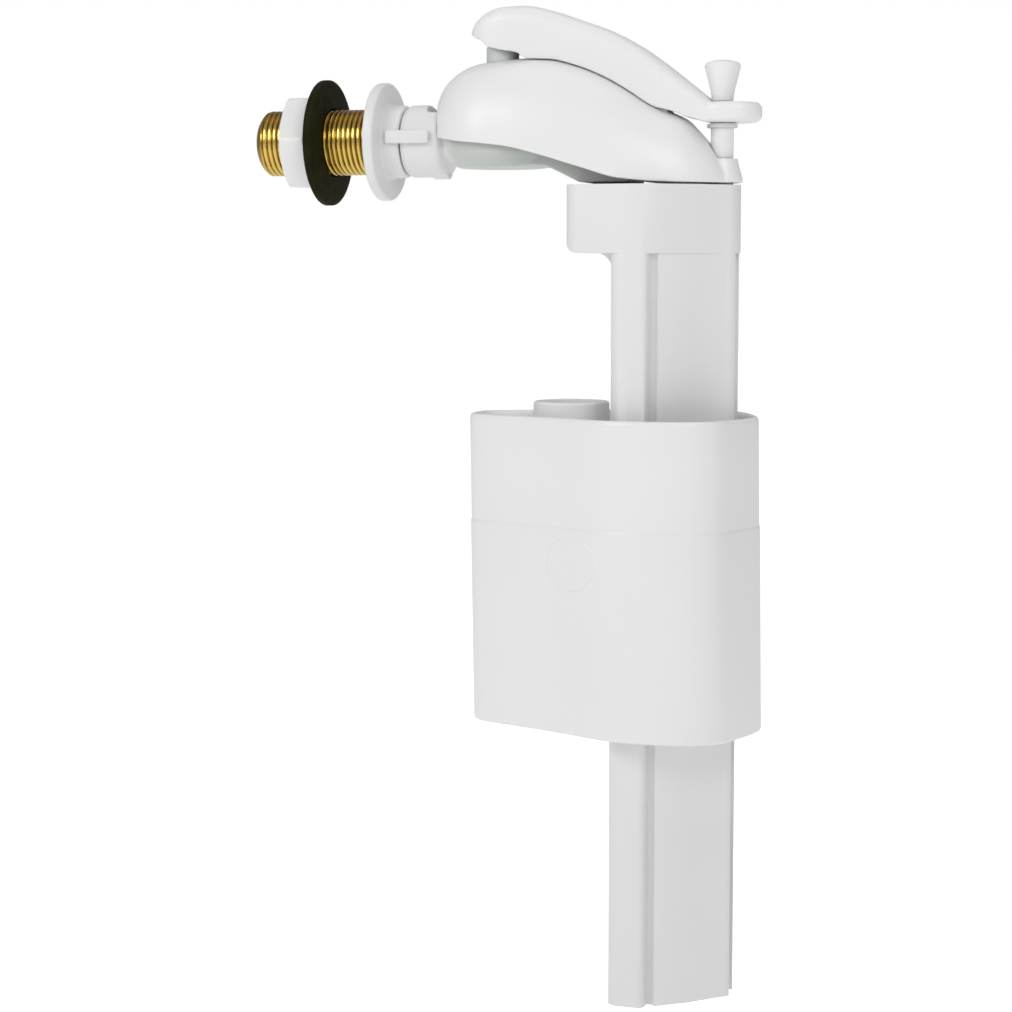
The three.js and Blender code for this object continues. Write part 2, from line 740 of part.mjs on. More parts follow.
function floatShell() {
  const outer = floatBody(0, FLOAT_BOTTOM, FLOAT_TOP);
  const basin = floatBody(1.9, FLOAT_DECK, FLOAT_TOP + 1);
  const hollow = floatBody(WALL, FLOAT_BOTTOM - 1, FLOAT_DECK - WALL);
  const sleeve = prismZ(passageOutline(PASSAGE + SLEEVE), FLOAT_BOTTOM + 0.1, FLOAT_DECK - 0.5);
  const cup = rodZ(CUP.r, FLOAT_DECK - 0.5, CUP.top, CUP.x, 0, SIDES);
  const walls = cut(outer, basin, hollow);
  return cut(
    join(walls, sleeve, cup),
    rodZ(CUP.r - 1.5, FLOAT_DECK + 1, CUP.top + 1, CUP.x, 0, SIDES),
    prismZ(passageOutline(PASSAGE), FLOAT_BOTTOM - 2, CUP.top + 2),
    box(91, 97, -2.5, 2.5, -84, FLOAT_DECK + 0.1),
  );
}

function floatBase() {
  const plate = floatBody(WALL + GAP, FLOAT_BOTTOM + 0.4, FLOAT_BOTTOM + 2);
  return cut(plate, prismZ(passageOutline(PASSAGE + SLEEVE + GAP), FLOAT_BOTTOM - 1, FLOAT_BOTTOM + 3));
}

const floatHalfNut = () =>
  cut(box(91, 96.4, -2.1, 2.1, -83.6, FLOAT_DECK - 0.2), rodZ(ROD_R + GAP, -90, -70, ROD_X));

add("inlet_shank", inletShank(), brass);
add("shank_o_ring", shankORing(), softRubber);
add("inlet_strainer", inletStrainer(), milky);
add("flow_limiter", flowLimiter(), milky);
add("tank_washer", tankWasher(), darkRubber);
add("lock_nut", lockNut(), white);
add("backing_flange", backingFlange(), white);
add("valve_body", valveBody(), white);
add("valve_seat", valveSeat(), milky);
add("metering_pin", meteringPin(), brass);
add("diaphragm", diaphragm(), softRubber);
add("diaphragm_insert", diaphragmInsert(), milky);
add("chamber_lid", chamberLid(), white);
add("pilot_turret", pilotTurret(), milky);
add("head_cover", headCover(), white);
add("lever_pin", leverPin(), milky);
add("float_lever", floatLever(), white);
add("pilot_pad", pilotPad(), softRubber);
add("adjusting_rod", adjustingRod(), white);
add("adjusting_knob", adjustingKnob(), white);
add("rod_swivel_clip", rodSwivelClip(), milky);
add("guide_column", guideColumn(), milky);
add("column_gasket", columnGasket(), softRubber);
add("flow_silencer", flowSilencer(), milky);
add("float_shell", floatShell(), white);
add("float_base", floatBase(), white);
add("float_half_nut", floatHalfNut(), milky);

export default valve;
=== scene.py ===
"""Looks of a side-inlet toilet fill valve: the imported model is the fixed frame, and each visible piece is
rebuilt on it as fine surface, with thread, rounded edges, mouldings and its own procedural material.

Lengths are millimetres in the model's frame (+X into the tank, +Z up, origin on the inlet axis at the
flange's seating face). `build` turns them into metres, and so does the factor MM elsewhere."""
import json
import math

import bmesh
import bpy
import numpy as np
from mathutils import Matrix, Vector


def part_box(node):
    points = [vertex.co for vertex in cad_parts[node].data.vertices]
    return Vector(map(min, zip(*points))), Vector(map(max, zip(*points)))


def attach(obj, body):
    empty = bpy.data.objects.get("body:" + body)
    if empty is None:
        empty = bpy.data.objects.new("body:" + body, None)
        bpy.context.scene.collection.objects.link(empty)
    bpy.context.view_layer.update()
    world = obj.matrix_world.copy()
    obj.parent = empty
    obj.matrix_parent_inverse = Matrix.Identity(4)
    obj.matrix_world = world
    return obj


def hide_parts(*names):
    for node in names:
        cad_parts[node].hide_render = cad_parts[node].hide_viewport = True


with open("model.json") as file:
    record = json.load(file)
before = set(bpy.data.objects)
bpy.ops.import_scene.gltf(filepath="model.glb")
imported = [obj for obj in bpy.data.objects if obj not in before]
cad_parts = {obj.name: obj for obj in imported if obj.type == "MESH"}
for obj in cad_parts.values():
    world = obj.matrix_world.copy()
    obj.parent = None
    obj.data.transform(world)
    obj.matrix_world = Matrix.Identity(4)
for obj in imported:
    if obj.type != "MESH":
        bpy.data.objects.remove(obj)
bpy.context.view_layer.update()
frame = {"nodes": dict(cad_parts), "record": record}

MM = 0.001
LOW = {name: np.array(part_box(name)[0]) / MM for name in frame["nodes"]}
HIGH = {name: np.array(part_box(name)[1]) / MM for name in frame["nodes"]}

# ---- Sizes read from the frame ----
SHANK_START = LOW["inlet_shank"][0]
SHANK_END = HIGH["inlet_shank"][0]
SHANK_R = HIGH["inlet_shank"][2]
HEAD_X = (LOW["chamber_lid"][0] + HIGH["chamber_lid"][0]) / 2
ROD_X = (LOW["adjusting_knob"][0] + HIGH["adjusting_knob"][0]) / 2
ROD_R = (HIGH["adjusting_rod"][1] - LOW["adjusting_rod"][1]) / 2
COLUMN_TOP = HIGH["guide_column"][2]
COLUMN_END = LOW["guide_column"][2]
FLOAT_BOTTOM = LOW["float_shell"][2]
CUP_TOP = HIGH["float_shell"][2]
FLANGE_R = HIGH["backing_flange"][2]

# ---- Sizes of the fine shapes ----
THREAD_PITCH = 1.337
THREAD_DEPTH = 0.36
HUB_R = 9.1
BORE_R = 4.75
ROD_PITCH = 4.0
FLOAT_TOP = -68.5
FLOAT_DECK = -75.0
FLOAT_DRAFT = 1.2
CREASE_Z = -95.5
HOUSING_BOTTOM = -28.3
HOUSING_START = LOW["guide_column"][0]
COLUMN_BACK = 64.3
LOBE_HALF = HIGH["guide_column"][1]
NOSE = (ROD_X + 0.1, 4.6)
TONGUE_BOTTOM, TONGUE_TOP = 3.4, 8.3
PIN_X = (LOW["lever_pin"][0] + HIGH["lever_pin"][0]) / 2
PIN_Z = (LOW["lever_pin"][2] + HIGH["lever_pin"][2]) / 2
PIN_HOLE_R = 1.8
ROD_HOLE_R = 3.3
SPOUT_X = 61
PIPE_Z = -1.6
WALL = 1.5


# ---- Building meshes ----
def finish_mesh(obj, sharp=38):
    mesh = obj.data
    work = bmesh.new()
    work.from_mesh(mesh)
    bmesh.ops.recalc_face_normals(work, faces=work.faces)
    work.to_mesh(mesh)
    work.free()
    mesh.shade_smooth()
    mesh.set_sharp_from_angle(angle=math.radians(sharp))
    return obj


def build(name, points, faces, sharp=38):
    mesh = bpy.data.meshes.new(name)
    mesh.from_pydata((np.asarray(points, float) * MM).tolist(), [], faces)
    mesh.validate()
    obj = bpy.data.objects.new(name, mesh)
    bpy.context.scene.collection.objects.link(obj)
    return finish_mesh(obj, sharp)


def skin(name, rings, loop=False, sharp=38):
    """A closed skin over rings with the same number of points: a loop of rings, or a row with flat ends."""
    rings = np.asarray(rings, float)
    rows, count = rings.shape[:2]
    faces = []
    for i in range(rows if loop else rows - 1):
        for j in range(count):
            a, b = i * count, (i + 1) % rows * count
            faces.append((a + j, a + (j + 1) % count, b + (j + 1) % count, b + j))
    if not loop:
        faces.append(tuple(range(count)))
        faces.append(tuple((rows - 1) * count + j for j in range(count)))
    return build(name, rings.reshape(-1, 3), faces, sharp)


def rounded(corners):
    """A closed outline of (u, v, radius) corners, with each corner turned into an arc."""
    steps = 5
    out = []
    for i, (u, v, r) in enumerate(corners):
        here = np.array([u, v], float)
        before = np.array(corners[i - 1][:2], float) - here
        after = np.array(corners[(i + 1) % len(corners)][:2], float) - here
        la, lb = np.linalg.norm(before), np.linalg.norm(after)
        before, after = before / la, after / lb
        half = math.acos(np.clip(before @ after, -1, 1)) / 2
        if r <= 0 or half > 1.55:
            out.append(here)
            continue
        reach = min(r / math.tan(half), 0.48 * la, 0.48 * lb)
        radius = reach * math.tan(half)
        middle = (before + after) / np.linalg.norm(before + after)
        centre = here + middle * radius / math.sin(half)
        start, end = here + before * reach - centre, here + after * reach - centre
        for k in range(steps + 1):
            mix = start * (1 - k / steps) + end * k / steps
            out.append(centre + mix / np.linalg.norm(mix) * radius)
    return out


def turned(name, profile, axis="Z", centre=(0, 0), sides=96):
    """A turned shape from (radius, place) points that close on themselves, round a line along axis."""
    angles = np.linspace(0, 2 * math.pi, sides, endpoint=False)
    points, rows = [], []
    for r, s in profile:
        pole = r < 1e-4
        rows.append((len(points), pole))
        for a in angles[:1] if pole else angles:
            u, v = r * math.cos(a), r * math.sin(a)
            if axis == "X":
                points.append((s, centre[0] + u, centre[1] + v))
            else:
                points.append((centre[0] + u, centre[1] + v, s))
    faces = []
    for i, (a, a_pole) in enumerate(rows):
        b, b_pole = rows[(i + 1) % len(rows)]
        for j in range(sides):
            k = (j + 1) % sides
            if a_pole and b_pole:
                break
            if a_pole:
                faces.append((a, b + k, b + j))
            elif b_pole:
                faces.append((a + j, a + k, b))
            else:
                faces.append((a + j, a + k, b + k, b + j))
    return build(name, points, faces)


def prism(name, outline, low, high, axis="Z"):
    """A straight prism of a closed outline along Z, or along Y for an outline of (x, z) points."""
    if axis == "Z":
        rings = [[(x, y, s) for x, y in outline] for s in (low, high)]
    else:
        rings = [[(x, s, z) for x, z in outline] for s in (low, high)]
    return skin(name, rings)


def block(name, low, high):
    (x0, y0, z0), (x1, y1, z1) = low, high
    return prism(name, [(x0, y0), (x1, y0), (x1, y1), (x0, y1)], z0, z1)


def baked(obj):
    """Applies the modifiers of obj to its mesh."""
    graph = bpy.context.evaluated_depsgraph_get()
    mesh = bpy.data.meshes.new_from_object(obj.evaluated_get(graph))
    obj.modifiers.clear()
    obj.data = mesh
    return obj


def combine(obj, tools, operation, careful=False):
    """Joins tools to obj or cuts them from it; careful copes with a skin that crosses itself."""
    for tool in tools:
        modifier = obj.modifiers.new("combine", "BOOLEAN")
        modifier.operation = operation
        modifier.solver = "EXACT"
        modifier.object = tool
        modifier.use_self = careful
        baked(obj)
        bpy.data.objects.remove(tool)
    return obj


def fuse(obj, *tools):
    return combine(obj, tools, "UNION")


def carve(obj, *tools, careful=False):
    return combine(obj, tools, "DIFFERENCE", careful)


def bevelled(obj, width, segments=3, angle=35):
    modifier = obj.modifiers.new("bevel", "BEVEL")
    modifier.width = width * MM
    modifier.segments = segments
    modifier.limit_method = "ANGLE"
    modifier.angle_limit = math.radians(angle)
    baked(obj)
    return finish_mesh(obj, 32)


def melted(obj, voxel, passes):
    """One even skin over obj, smoothed so that its inner corners and edges come out as small fillets."""
    modifier = obj.modifiers.new("voxels", "REMESH")
    modifier.mode = "VOXEL"
    modifier.voxel_size = voxel * MM
    modifier = obj.modifiers.new("soften", "SMOOTH")
    modifier.factor = 0.5
    modifier.iterations = passes
    baked(obj)
    obj.data.shade_smooth()
    return obj


def along(points, x):
    """The value at x of a row of (x, value) points, joined by a smooth monotone curve."""
    xs, ys = np.array(points, float).T
    slopes = np.diff(ys) / np.diff(xs)
    tangents = np.zeros(len(xs))
    tangents[0], tangents[-1] = slopes[0], slopes[-1]
    for i in range(1, len(xs) - 1):
        a, b = slopes[i - 1], slopes[i]
        tangents[i] = 0 if a * b <= 0 else 2 * a * b / (a + b)
    x = min(max(x, xs[0]), xs[-1])
    i = min(int(np.searchsorted(xs, x, "right")) - 1, len(xs) - 2)
    span = xs[i + 1] - xs[i]
    t = (x - xs[i]) / span
    blend = t * t * (3 - 2 * t)
    rise = span * (tangents[i] * t * (1 - t) ** 2 - tangents[i + 1] * t * t * (1 - t))
    return ys[i] * (1 - blend) + ys[i + 1] * blend + rise


def arc(cx, cy, r, start, end, steps):
    angles = np.radians(np.linspace(start, end, steps + 1))
    return [(cx + r * math.cos(a), cy + r * math.sin(a)) for a in angles]


def mirrored(half):
    """A closed outline from its half at +Y, from the back to the nose."""
    return list(half) + [(x, -y) for x, y in reversed(half)]


# ---- Materials ----
def tree_of(name):
    material = bpy.data.materials.new(name)
    material.use_nodes = True
    tree = material.node_tree
    return material, tree, tree.nodes["Principled BSDF"]


def coordinates(tree, scale):
    texture = tree.nodes.new("ShaderNodeTexCoord")
    mapping = tree.nodes.new("ShaderNodeMapping")
    mapping.inputs["Scale"].default_value = scale
    tree.links.new(texture.outputs["Object"], mapping.inputs["Vector"])
    return mapping.outputs["Vector"]


def noise(tree, scale, detail, stretch=(1, 1, 1)):
    node = tree.nodes.new("ShaderNodeTexNoise")
    node.inputs["Scale"].default_value = scale
    node.inputs["Detail"].default_value = detail
    tree.links.new(coordinates(tree, stretch), node.inputs["Vector"])
    return node.outputs["Fac"]


def ramp(tree, value, stops):
    node = tree.nodes.new("ShaderNodeValToRGB")
    node.color_ramp.elements[0].position, node.color_ramp.elements[0].color = stops[0]
    node.color_ramp.elements[1].position, node.color_ramp.elements[1].color = stops[-1]
    for position, color in stops[1:-1]:
        node.color_ramp.elements.new(position).color = color
    tree.links.new(value, node.inputs["Fac"])
    return node.outputs["Color"]


def bump(tree, shader, heights):
    """Adds bumps of (height socket, depth in metres) pairs to the shader, one over the other."""
    normal = None
    for height, depth in heights:
        node = tree.nodes.new("ShaderNodeBump")
        node.inputs["Strength"].default_value = 1.0
        node.inputs["Distance"].default_value = depth
        tree.links.new(height, node.inputs["Height"])
        if normal:
            tree.links.new(normal, node.inputs["Normal"])
        normal = node.outputs["Normal"]
    tree.links.new(normal, shader.inputs["Normal"])


def grey(v, warmth=0.0):
    return (v + warmth, v, v - warmth, 1)


def multiplied(tree, a, b, share=1.0):
    mix = tree.nodes.new("ShaderNodeMix")
    mix.data_type = "RGBA"
    mix.blend_type = "MULTIPLY"
    mix.inputs["Factor"].default_value = share
    tree.links.new(a, mix.inputs["A"])
    tree.links.new(b, mix.inputs["B"])
    return mix.outputs["Result"]


def between(tree, share, low, high):
    """A colour that runs from low to high as share runs from 0 to 1."""
    mix = tree.nodes.new("ShaderNodeMix")
    mix.data_type = "RGBA"
    mix.inputs["A"].default_value = low
    mix.inputs["B"].default_value = high
    tree.links.new(share, mix.inputs["Factor"])
    return mix.outputs["Result"]


def components(tree):
    """The x, y and z outputs of the shaded point in the model's frame."""
    texture = tree.nodes.new("ShaderNodeTexCoord")
    split = tree.nodes.new("ShaderNodeSeparateXYZ")
    tree.links.new(texture.outputs["Object"], split.inputs[0])
    return split.outputs


def share_of(tree, value, start, end):
    """0 where value is at or under start and 1 at or over end, both in millimetres."""
    share = tree.nodes.new("ShaderNodeMapRange")
    share.inputs["From Min"].default_value = start * MM
    share.inputs["From Max"].default_value = end * MM
    tree.links.new(value, share.inputs["Value"])
    return share.outputs["Result"]


def across(tree, axis, start, end):
    """0 before start and 1 after end, along one axis of the model."""
    return share_of(tree, components(tree)[axis], start, end)


def out_from_inlet_axis(tree, start, end):
    """0 within start and 1 beyond end, measured out from the inlet's axis."""
    here = components(tree)
    flat = tree.nodes.new("ShaderNodeCombineXYZ")
    tree.links.new(here["Y"], flat.inputs["Y"])
    tree.links.new(here["Z"], flat.inputs["Z"])
    length = tree.nodes.new("ShaderNodeVectorMath")
    length.operation = "LENGTH"
    tree.links.new(flat.outputs[0], length.inputs[0])
    return share_of(tree, length.outputs["Value"], start, end)


def plastic(name, light, dark, rough, gloss=0.5, shade=None):
    """Moulded white plastic: a faint cloudiness in the colour, uneven sheen and a fine moulded skin.
    shade is an (axis, start, end, value) of painted shade further along the piece: a darker colour that
    stands in for the shadow falling there."""
    material, tree, shader = tree_of(name)
    colour = between(tree, noise(tree, 40, 2), dark, light)
    if shade:
        axis, start, end, value = shade
        # Painted shade: the colour darkens towards value past end, standing in for shadow on that part of
        # the piece.
        painted_shade = ramp(tree, across(tree, axis, start, end), [(0, grey(1)), (1, value)])
        colour = multiplied(tree, colour, painted_shade)
    tree.links.new(colour, shader.inputs["Base Color"])
    sheen = between(tree, noise(tree, 70, 2), grey(rough - 0.06), grey(rough + 0.08))
    tree.links.new(sheen, shader.inputs["Roughness"])
    shader.inputs["IOR"].default_value = 1.46
    shader.inputs["Specular IOR Level"].default_value = gloss
    bump(tree, shader, [(noise(tree, 100, 1), 0.00001), (noise(tree, 700, 1), 0.000004)])
    return material


def brass():
    """Turned brass: bright crests, darker warm thread roots, painted shade that darkens the upper side
    as the dim reflection there would, and fine turning marks round the axis."""
    material, tree, shader = tree_of("turned_brass")
    height = out_from_inlet_axis(tree, SHANK_R - THREAD_DEPTH, SHANK_R)
    stops = [(0.0, (0.3, 0.18, 0.01, 1)), (0.45, (0.52, 0.33, 0.035, 1)), (1.0, (0.8, 0.58, 0.17, 1))]
    colour = ramp(tree, height, stops)
    tarnish = ramp(tree, noise(tree, 160, 6), [(0.35, grey(0.78, 0.03)), (0.7, grey(1.0))])
    colour = multiplied(tree, colour, tarnish, 0.6)
    # Painted shade: the brass darkens to brown above Z 1.5–7 mm, standing in for the dark reflection on its
    # upper side.
    painted_top_shade = ramp(tree, across(tree, "Z", 1.5, 7), [(0, grey(1)), (1, (0.36, 0.27, 0.12, 1))])
    tree.links.new(multiplied(tree, colour, painted_top_shade), shader.inputs["Base Color"])
    shader.inputs["Metallic"].default_value = 1.0
    streaks = noise(tree, 900, 2, (6, 0.15, 0.15))
    tree.links.new(ramp(tree, streaks, [(0.3, grey(0.14)), (0.7, grey(0.28))]), shader.inputs["Roughness"])
    bump(tree, shader, [(streaks, 0.00001), (noise(tree, 700, 3), 0.00002)])
    return material


def rubber(name, dark, light, rough, gloss=0.25):
    """Moulded rubber: near black, dusty in places, with a fine pebbled skin."""
    material, tree, shader = tree_of(name)
    dust = noise(tree, 240, 6)
    tree.links.new(ramp(tree, dust, [(0.35, dark), (0.75, light)]), shader.inputs["Base Color"])
    sheen = ramp(tree, noise(tree, 420, 3), [(0.3, grey(rough - 0.08)), (0.7, grey(rough + 0.1))])
    tree.links.new(sheen, shader.inputs["Roughness"])
    shader.inputs["Specular IOR Level"].default_value = gloss
    bump(tree, shader, [(noise(tree, 900, 3), 0.00004), (noise(tree, 2600, 2), 0.00002)])
    return material


# Colour of the painted shade on the body's bowl, which lies in the cover's shadow.
BOWL_PAINTED_SHADE = (0.72, 0.76, 0.72, 1)
WHITE = plastic("white_plastic", grey(0.84, 0.003), grey(0.81, 0.002), 0.3)
SATIN = plastic("satin_plastic", grey(0.79), grey(0.76), 0.42, 0.45)
MILKY = plastic("milky_plastic", grey(0.76), grey(0.72), 0.48, 0.4)
# The body darkens beyond X 20–23 mm: painted shade on the bowl under the cover.
BODY = plastic("body_plastic", grey(0.77, 0.003), grey(0.74, 0.002), 0.34, shade=("X", 20, 23, BOWL_PAINTED_SHADE))
FLANGE = plastic("flange_plastic", grey(0.78), grey(0.75), 0.34)
PILOT = plastic("pilot_plastic", (0.64, 0.67, 0.65, 1), (0.58, 0.61, 0.59, 1), 0.42)
BRASS = brass()
DARK_RUBBER = rubber("dark_rubber", (0.01, 0.01, 0.001, 1), (0.016, 0.015, 0.003, 1), 0.7, 0.1)
SOFT_RUBBER = rubber("soft_rubber", (0.03, 0.03, 0.032, 1), (0.07, 0.07, 0.072, 1), 0.6)
LOOKS = {
    "white_plastic": WHITE,
    "milky_plastic": MILKY,
    "brass": BRASS,
    "dark_rubber": DARK_RUBBER,
    "soft_rubber": SOFT_RUBBER,
}


def place(obj, body, material, slot, *nodes):
    """Puts a finished piece on its body, in its material, in the place of these CAD nodes."""
    obj.data.materials.clear()
    obj.data.materials.append(material)
    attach(obj, body)
    if nodes:
        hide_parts(*nodes)


# ---- Camera, light and floor ----
def camera():
    """A long view from the front right, a little below the head's height and tilted down."""
    azimuth, tilt, distance = math.radians(16.2), math.radians(5.19), 560.0
    forward = Vector((-math.sin(azimuth), math.cos(azimuth), 0))
    lens = bpy.data.cameras.new("camera")
    lens.lens = 78.47
    lens.sensor_width = 36
    lens.shift_y = -0.045
    lens.clip_start = 0.01
    obj = bpy.data.objects.new("camera", lens)
    obj.location = (Vector((33.3, 0, -30)) - forward * distance) * MM
    obj.rotation_euler = (math.pi / 2 - tilt, 0, azimuth)
    bpy.context.scene.collection.objects.link(obj)
    bpy.context.scene.camera = obj


def area_light(name, location, target, size, power):
    light = bpy.data.lights.new(name, "AREA")
    light.shape = "DISK"
    light.size = size * MM
    light.energy = power
    obj = bpy.data.objects.new(name, light)
    obj.location = Vector(location) * MM
    aim = (Vector(target) - Vector(location)).to_track_quat("-Z", "Y")
    obj.rotation_euler = aim.to_euler()
    bpy.context.scene.collection.objects.link(obj)


def studio():
    area_light("key", (-320, -560, 330), (45, 0, -60), 380, 1.45)
    area_light("fill", (420, -520, 60), (60, 0, -90), 500, 0.08)
    area_light("top", (60, 60, 520), (50, 0, 0), 420, 0.42)
    area_light("head_light", (230, -260, 140), (75, 0, -15), 160, 0.22)


def sky():
    """White where the camera sees it, and a dim grey, lighter upwards, where it lights the pieces."""
    world = bpy.data.worlds.new("studio")
    world.use_nodes = True
    tree = world.node_tree
    tree.nodes.clear()
    out = tree.nodes.new("ShaderNodeOutputWorld")
    seen, lit = (tree.nodes.new("ShaderNodeBackground") for _ in range(2))
    seen.inputs["Color"].default_value = grey(1.0)
    direction = tree.nodes.new("ShaderNodeTexCoord")
    split = tree.nodes.new("ShaderNodeSeparateXYZ")
    tree.links.new(direction.outputs["Generated"], split.inputs[0])
    tone = ramp(tree, split.outputs["Z"], [(0.0, grey(0.4)), (0.25, grey(0.42)), (0.7, grey(0.5))])
    tree.links.new(tone, lit.inputs["Color"])
    path = tree.nodes.new("ShaderNodeLightPath")
    mix = tree.nodes.new("ShaderNodeMixShader")
    tree.links.new(path.outputs["Is Camera Ray"], mix.inputs[0])
    tree.links.new(lit.outputs[0], mix.inputs[1])
    tree.links.new(seen.outputs[0], mix.inputs[2])
    tree.links.new(mix.outputs[0], out.inputs[0])
    bpy.context.scene.world = world
    bpy.context.scene.view_settings.view_transform = "Standard"


def floor():
    """A plain pale floor just under the column, wide enough to reach out of every view."""
    reach, level = 4000, COLUMN_END - 0.05
    corners = [(x * reach, y * reach, level) for x, y in ((-1, -1), (1, -1), (1, 1), (-1, 1))]
    obj = build("floor", corners, [(0, 1, 2, 3)])
    material, tree, shader = tree_of("pale_floor")
    tone = ramp(tree, noise(tree, 2, 2), [(0.3, grey(0.88)), (0.7, grey(0.9))])
    tree.links.new(tone, shader.inputs["Base Color"])
    shader.inputs["Roughness"].default_value = 0.9
    shader.inputs["Specular IOR Level"].default_value = 0.1
    shader.inputs["Emission Color"].default_value = grey(1.0)
    path = tree.nodes.new("ShaderNodeLightPath")
    glow = tree.nodes.new("ShaderNodeMapRange")
    glow.inputs["To Min"].default_value = 0.32
    glow.inputs["To Max"].default_value = 0.72
    tree.links.new(path.outputs["Is Camera Ray"], glow.inputs["Value"])
    tree.links.new(glow.outputs["Result"], shader.inputs["Emission Strength"])
    obj.data.materials.append(material)


# ---- Inlet ----
def thread_drop(x, angle, pitch, depth):
    """How far a right-handed thread lies below its crests: flat crests and roots with flanks between."""
    crest_edge, flank_run = 0.52, 0.44
    phase = (x / pitch - angle / (2 * math.pi)) % 1.0
    from_root = abs(2 * phase - 1)
    return depth * min(1.0, max(0.0, (crest_edge - from_root) / flank_run))


def inlet_shank():
    """The brass tail: a helical thread, then a plain plug with the O-ring's groove, and the bore."""
    sides = 96
    angles = np.linspace(0, 2 * math.pi, sides, endpoint=False)
    chamfer, thread_end = 2.2, 1.1
    neck_r, plug_r, groove_r = 7, 6.5, 5.6

    def ring(x, radius, threaded=False):
        row = []
        for a in angles:
            r = radius
            if threaded:
                run = min(1, (x - SHANK_START) / chamfer)
                r = min(r - thread_drop(x, a, THREAD_PITCH, THREAD_DEPTH), r - chamfer * (1 - run) ** 1.6)
            row.append((x, r * math.cos(a), r * math.sin(a)))
        return row

    xs = np.arange(SHANK_START, thread_end, THREAD_PITCH / 10)
    rings = [ring(SHANK_START, BORE_R + 0.4), ring(SHANK_START, SHANK_R - chamfer - 0.1)]
    rings += [ring(x, SHANK_R, True) for x in xs]
    rings += [ring(x, r) for x, r in (
        (thread_end, neck_r), (7.5, neck_r), (7.5, plug_r), (11, plug_r), (11, groove_r), (13, groove_r),
        (13, plug_r), (SHANK_END, plug_r), (SHANK_END, BORE_R), (SHANK_START + 0.5, BORE_R),
    )]
    place(skin("brass_shank", rings, loop=True, sharp=50), "root", BRASS, "brass", "inlet_shank")


def tank_washer():
    """The rubber disc, a little thinner at its edge."""
    x0, x1, r = LOW["tank_washer"][0], HIGH["tank_washer"][0], HIGH["tank_washer"][2]
    profile = rounded([
        (SHANK_R + 0.3, x0 + 0.15, 0.3), (r - 0.9, x0, 0.8), (r, x0 + 0.5, 0.5), (r, x1 - 0.7, 0.6),
        (r - 1.2, x1 - 0.15, 0.8), (SHANK_R + 0.3, x1, 0.3),
    ])
    obj = turned("rubber_washer", profile, "X", sides=128)
    place(obj, "washer", DARK_RUBBER, "dark_rubber", "tank_washer")


def lock_nut():
    """A hexagon that is rounded off towards both faces, with a countersunk bore."""
    x0, x1 = LOW["lock_nut"][0], HIGH["lock_nut"][0]
    apothem = HIGH["lock_nut"][2]
    sides = 144
    angles = np.linspace(0, 2 * math.pi, sides, endpoint=False)

    def ring(x, radius):
        row = []
        for a in angles:
            corner = (a + math.pi / 6) % (math.pi / 3) - math.pi / 6
            flat = apothem / math.cos(corner)
            r = min(radius, flat, apothem / math.cos(math.pi / 6) - 0.25)
            row.append((x, r * math.sin(a), r * math.cos(a)))
        return row

    edge = 1.5
    steps = np.linspace(0, 1, 7)
    domed = [(edge * t, apothem - 0.5 + 2.6 * math.sin(t * math.pi / 2)) for t in steps]
    rings = [ring(x0 + depth, r) for depth, r in domed]
    rings += [ring(x, 2 * apothem) for x in np.linspace(x0 + edge + 0.6, x1 - edge - 0.6, 5)]
    rings += [ring(x1 - depth, r) for depth, r in reversed(domed)]
    bore = SHANK_R + 0.3
    for x, r in ((x1, bore + 0.7), (x1 - 0.7, bore), (x0 + 0.7, bore), (x0, bore + 0.7)):
        rings.append([(x, r * math.sin(a), r * math.cos(a)) for a in angles])
    place(skin("hex_lock_nut", rings, loop=True, sharp=26), "nut", WHITE, "white_plastic", "lock_nut")


def backing_flange():
    """The round flange, its hub and the two clip arms beside the hub."""
    profile = rounded([
        (SHANK_R + 0.3, 0, 0.2), (FLANGE_R, 0, 0.7), (FLANGE_R, 2.8, 0.7), (HUB_R + 0.2, 2.8, 0.9),
        (HUB_R, 7.5, 0.7), (7.3, 7.5, 0.2), (7.3, 1.5, 0), (SHANK_R + 0.3, 1.5, 0),
    ])
    obj = turned("flange_and_hub", profile, "X", sides=128)
    reach = HIGH["backing_flange"][0]
    for side in (-1, 1):
        outside = sorted((side * (HUB_R + 0.3), side * (HUB_R + 1.6)))
        foot = sorted((side * (HUB_R - 0.8), side * (HUB_R + 1.6)))
        arm = bevelled(block("arm", (5, outside[0], -0.9), (reach, outside[1], 2.4)), 0.4)
        root = bevelled(block("root", (4.6, foot[0], -0.9), (7.3, foot[1], 2.4)), 0.4)
        fuse(obj, fuse(arm, root))
    place(finish_mesh(obj), "root", FLANGE, "white_plastic", "backing_flange")


